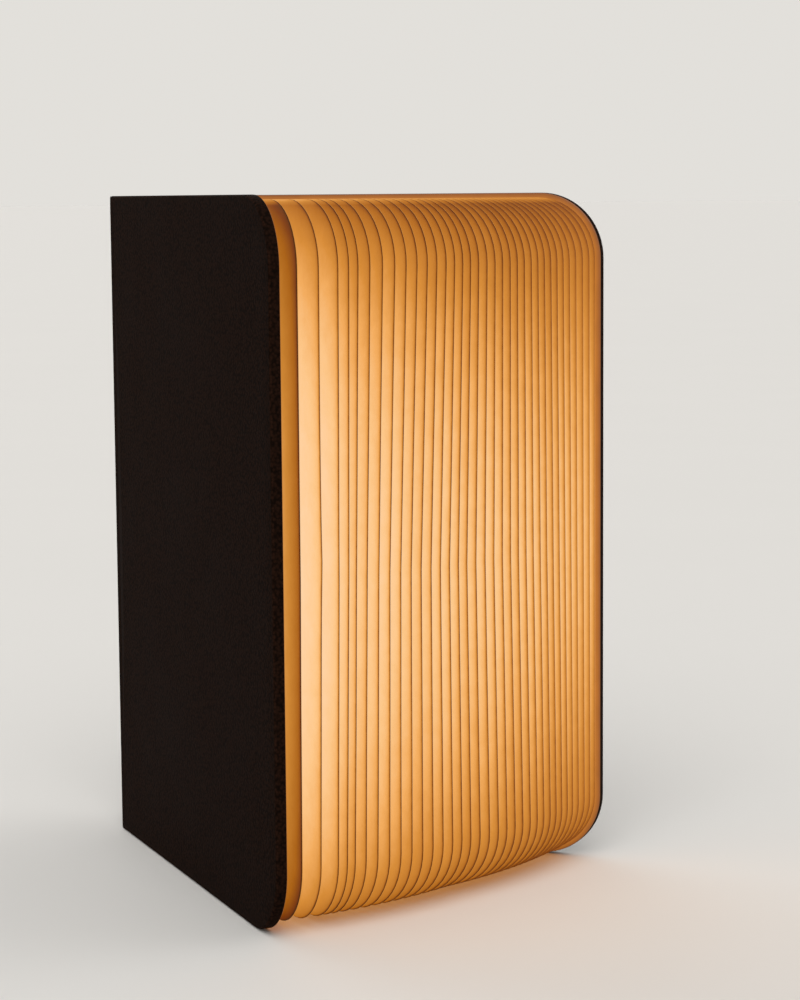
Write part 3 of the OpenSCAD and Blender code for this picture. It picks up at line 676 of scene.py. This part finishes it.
pages = {
    "columns": [0.0, 0.15, 0.35, 0.55, 0.7, 0.8, 0.86, 0.905, 0.935, 0.955, 0.97, 0.98, 0.988, 0.993, 0.9965,
                0.9985, 1.0],
    "rowsStraight": 34, "rowsCorner": 12,
    "paperThick": 0.14,  # mm, the paper itself; the part's solid is thicker
    "middle": 105.0,     # height in mm from which the heads and feet of the pages lean
    "middleLean": (-0.12, 2.66, 0.94, -5.21),   # mm, the a, b, c, d of pageBow
    "headLean": (1.87, -7.72, -2.99, 7.29), "headRise": 100.0,
    "footLean": (1.51, 3.19, -2.94, 1.40), "footRise": 85.0,
    "ripple": 0.032,     # mm of each page's own unevenness
    "kinkPage": 2, "kink": 0.36, "kinkHeight": 110.0, "kinkWide": 15.0,   # the small kink in the second page
    "rimWide": 0.52,     # mm of each face beside the cut edge that carry painted shade
    "rimNear": 0.8,      # how much wider that is on the first near faces
    "rimDark": 0.98, "rimFar": 0.82,       # how dark that painted shade is on near faces, and how much less on far ones
    "rimHead": 0.7, "rimHeadPower": 12,    # how much less dark again on the far faces towards the head
    "glowEdge": 0.27,    # share of the light left at the fore-edge
    "glowNearFast": 0.8, "glowFarFast": 1.7,   # mm over which near and far faces brighten inwards from there
    "glowSlow": 0.45, "glowSlowDepth": 6.0,    # share of it on the near faces that takes this many mm
    "headLight": 0.33, "headWide": 0.8,        # light that gets out along the head, and its width in mm
    "glowMiddle": 104.0, "glowReach": 107.0,   # mm: the brightest height, and how far it fades up and down
    "glowDrop": 0.85, "glowPower": 1.7,    # how far it drops, and its curve
    "glowFlat": 1.3,     # how much flatter that curve is on the near faces
    "glowDeeper": 0.15, "glowDeep": 9.0,   # how much less it drops inside, and the mm over which that grows
    "glowFar": 0.05,     # how much less light reaches the faces across the fan
    "uneven": 0.05,      # how much the light differs from page to page
    "coverSide": 0.7, "coverSideFade": 0.92,   # light on the faces next to the covers, and how far it fades
    "coverSideDepth": 14.0,   # mm over which those faces brighten inwards
    "edgeLight": 0.92, "edgeDrop": 0.68,   # light on the cut edges, and how far it drops up and down
}
record = frame["record"]["behaviour"]
ratioOf = {c["joint"]: c["ratio"] for c in record["couplings"]}
axisOf = {j["name"]: j["axis"][2] for j in record["joints"]}


def leafOutline():
    # Heights of the rows, and how far out the page reaches at each: W, and in the corners
    # W - R + sqrt(R^2 - (R - rise)^2).
    inset, radius = book["pageInset"], book["cornerRadius"] - book["pageInset"]
    low, high, wide = inset, book["height"] - inset, book["coverWidth"] - inset
    turn = np.linspace(0, math.pi / 2, pages["rowsCorner"])
    lowZ = low + radius * (1 - np.cos(turn))
    lowU = wide - radius * (1 - np.sin(turn))
    middleZ = np.linspace(low + radius, high - radius, pages["rowsStraight"])[1:-1]
    z = np.concatenate([lowZ, middleZ, (high + low) - lowZ[::-1]])
    reach = np.concatenate([lowU, np.full(len(middleZ), wide), lowU[::-1]])
    return z, reach


def pageBow(i, u, z, place):
    # How far the page stands off its plane: (1 - p^2)(middle + head x rise above + foot x rise below), each
    # of the three being a + b p + c p^2 + d p^3 at the page's place p, -1 at the left cover and 1 at the
    # right. Neighbours differ by less than they lie apart in the closed book. Each page adds a small ripple
    # of its own, and all of it fades to none at the root by 3 s^2 - 2 s^3.
    share = np.clip((u - book["pageRoot"]) / (book["coverWidth"] - book["pageRoot"]), 0, 1)
    powers = place ** np.arange(4)
    above = np.clip((z - pages["middle"]) / pages["headRise"], 0, 1.05)
    below = np.clip((pages["middle"] - z) / pages["footRise"], 0, 1.12)
    lean = np.dot(pages["middleLean"], powers) + above * np.dot(pages["headLean"], powers)
    lean = lean + below * np.dot(pages["footLean"], powers)
    t, phase = z / book["height"], 2.4 * i
    own = np.sin(2 * math.pi * 1.3 * t + phase) * 0.6 + 0.4 * np.sin(2 * math.pi * 3.3 * t + 1.7 * phase)
    own = own * pages["ripple"]
    if i == pages["kinkPage"]:
        own = own + pages["kink"] * np.exp(-np.abs(z - pages["kinkHeight"]) / pages["kinkWide"])
    return share * share * (3 - 2 * share) * (lean * (1 - place * place) + own)


def makePage(i):
    # A closed thin leaf: two grids of rows up the page and columns out from the root, joined round the rim.
    name = f"page_{i:02d}"
    place = (2 * i - book["pageCount"] - 1) / (book["pageCount"] + 1)
    side = axisOf[name + "_hinge"]
    angle = ratioOf[name + "_hinge"] * book["openAngle"]
    depth = book["spineWidth"] / 2 - side * place * gapWidth / 2
    z, reach = leafOutline()
    column = np.array(pages["columns"])
    u = book["pageRoot"] + (reach[:, None] - book["pageRoot"]) * column[None, :]
    zz = z[:, None] + 0 * u
    bow = -side * pageBow(i, u, zz, place)
    faces = [onSide(u, depth + bow + k * pages["paperThick"] / 2, zz, side, angle) for k in (-1, 1)]
    rows, columns = u.shape
    count = rows * columns
    points = np.concatenate([f.reshape(-1, 3) for f in faces])
    index = np.arange(2 * count).reshape(2, rows, columns)
    first, second = gridFaces(rows, columns), gridFaces(rows, columns, count)[:, ::-1]
    edges = [stripFaces(index[0, :, 0], index[1, :, 0]), stripFaces(index[1, :, -1], index[0, :, -1]),
             stripFaces(index[1, 0, :], index[0, 0, :]), stripFaces(index[0, -1, :], index[1, -1, :])]
    quads = np.concatenate([first, second, *edges])
    if signedVolume(points, quads) < 0:
        quads = quads[:, ::-1]
    slots = np.zeros(len(quads), int)
    slots[len(first) + len(second):] = 1
    # Light on a face, which looks left (-1) or right (1): 1 - drop (height off the middle / reach)^power,
    # less across the fan, and fading by two exponentials towards the fore-edge, where a dark rim of painted
    # shade draws the line between two pages.
    inward = reach[:, None] - u
    offMiddle = np.abs(zz - pages["glowMiddle"]) / pages["glowReach"]
    drop = pages["glowDrop"] * (1 - pages["glowDeeper"] * (1 - np.exp(-inward / pages["glowDeep"])))
    head = pages["headLight"] * np.exp(-((zz - z[-1]) / pages["headWide"]) ** 2)
    glow, rim = [], []
    for look in (side, -side):
        across = 0.5 - 0.5 * place * look
        heightLevel = 1 - drop * offMiddle ** (pages["glowPower"] + pages["glowFlat"] * (1 - across) ** 3)
        slow = pages["glowSlow"] * (1 - across)
        fast = pages["glowNearFast"] + (pages["glowFarFast"] - pages["glowNearFast"]) * across
        depthLevel = 1 - slow * np.exp(-inward / pages["glowSlowDepth"])
        depthLevel = depthLevel - (1 - pages["glowEdge"] - slow) * np.exp(-inward / fast)
        level = heightLevel * depthLevel * (1 - pages["glowFar"] * across)
        level = level * (1 + pages["uneven"] * math.sin(5.1 * i + look))
        if across < 1.5 / (book["pageCount"] + 1):   # a face next to a cover
            level = 1 - pages["coverSideFade"] * np.exp(-inward / pages["coverSideDepth"])
            level = level * heightLevel * pages["coverSide"]
        level = level + head
        rimWide = pages["rimWide"] * (1 + pages["rimNear"] * (1 - across) ** 8)
        # painted shade along the fore-edge, which draws the line between two pages
        rimShade = (pages["rimDark"] - pages["rimFar"] * across ** 2) * np.exp(-(inward / rimWide) ** 2)
        rimShade = rimShade * (1 - pages["rimHead"] * across * (zz / book["height"]) ** pages["rimHeadPower"])
        glow.append((np.clip(level, 0, 1) * (1 - rimShade)).ravel())
        rim.append(rimShade.ravel())
    edgeLit = pages["edgeLight"] * (1 - pages["edgeDrop"] * offMiddle ** pages["glowPower"]).ravel()
    piece = makePiece("leaf_" + name[-2:], points, quads, [finish["page"], finish["pageEdge"]], slots,
                      {"glow": np.concatenate(glow), "rim": np.concatenate(rim),
                       "edgeLit": np.tile(edgeLit, 2)})
    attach(piece, name)
    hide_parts(name)


for number in range(1, book["pageCount"] + 1):
    makePage(number)
print("pages made")

for sideName, sideSign in (("right", 1), ("left", -1)):
    skin = makeCoverLeather(f"leather{sideName.capitalize()}Cover", sideSign)
    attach(skin, sideName + "_cover")
    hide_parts(sideName + "_skin")
    strip = makeFold(f"leather{sideName.capitalize()}Fold", sideSign)
    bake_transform(strip)
spineSkin = makeSpineLeather()
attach(spineSkin, "spine")
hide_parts("spine_skin")
print("leather made")


# Stage

studio = {
    "floorColour": "#dddad5",
    "backdrop": 0.763, "backdropColour": (1.0, 0.974, 0.926, 1.0),   # its strength, and its linear colour
    "worldLight": 0.5,
    "lamps": {"keyLight": ((-1.1, -1.0, 1.7), 1.55), "fillLight": ((1.3, -0.9, 1.1), 0.45),
              "backLight": ((0.3, 1.5, 1.4), 0.45)},   # where each stands, in metres, and its power
    "softness": 50.0,    # degrees across each lamp
}


def makeStage():
    # A pale disc: radius rings times angles on a grid, flat at z = 0.
    radii, turn = [0.0, 0.3, 1.0, 4.0, 20.0, 90.0], np.linspace(0, 2 * math.pi, 97)[:-1]
    ring, angle = np.meshgrid(radii, turn, indexing="ij")
    points = np.stack([ring * np.cos(angle), ring * np.sin(angle), 0 * ring], -1).reshape(-1, 3)
    rows, columns = ring.shape
    index = np.arange(rows * columns).reshape(rows, columns)
    index = np.concatenate([index, index[:, :1]], 1)
    quads = np.concatenate([stripFaces(index[k], index[k + 1]) for k in range(rows - 1)])[:, ::-1]
    material, tree, shader, place = newMaterial("paleFloor")
    cloud = addNode(tree, "TexNoise", {"Vector": place, "Scale": 6.0, "Detail": 3.0})
    tone = addNode(tree, "Mix", {"data_type": "RGBA", 0: cloud.outputs["Fac"],
                                 6: linearColour(studio["floorColour"], 0.98),
                                 7: linearColour(studio["floorColour"])})
    setShader(tree, shader, {"Base Color": tone.outputs[2], "Roughness": 0.7, "Specular IOR Level": 0.2})
    floor = makePiece("floor", points, quads, [material])
    floor.location.z = -0.2 * mm   # clear of the book's foot


def makeLight(name, place, power):
    # A soft far light: it lights the whole floor evenly, and its width softens the shadows.
    data = bpy.data.lights.new(name, "SUN")
    data.energy, data.angle = power, math.radians(studio["softness"])
    light = bpy.data.objects.new(name, data)
    light.location = place
    light.rotation_euler = (Vector((0, 0, 0.1)) - Vector(place)).to_track_quat("-Z", "Y").to_euler()
    bpy.context.scene.collection.objects.link(light)


def makeWorld():
    # The world lights evenly; to the camera, and in gloss and glass, it is a plain pale backdrop.
    world = bpy.data.worlds.new("world")
    world.use_nodes = True
    tree = world.node_tree
    tree.nodes.clear()
    path = addNode(tree, "LightPath", {})
    seen = addNode(tree, "Math", {"operation": "MAXIMUM", 0: path.outputs["Is Camera Ray"],
                                  1: path.outputs["Is Glossy Ray"]})
    through = addNode(tree, "Math", {"operation": "MAXIMUM", 0: seen.outputs[0],
                                     1: path.outputs["Is Transmission Ray"]})
    light = addNode(tree, "Background", {"Color": [1.0, 1.0, 1.0, 1.0], "Strength": studio["worldLight"]})
    backdrop = addNode(tree, "Background", {"Color": studio["backdropColour"],
                                            "Strength": studio["backdrop"]})
    both = addNode(tree, "MixShader", {0: through.outputs[0], 1: light.outputs[0], 2: backdrop.outputs[0]})
    addNode(tree, "OutputWorld", {"Surface": both.outputs[0]})
    bpy.context.scene.world = world


makeStage()
makeWorld()
for lampName, (lampPlace, lampPower) in studio["lamps"].items():
    makeLight(lampName, lampPlace, lampPower)
print("stage made")
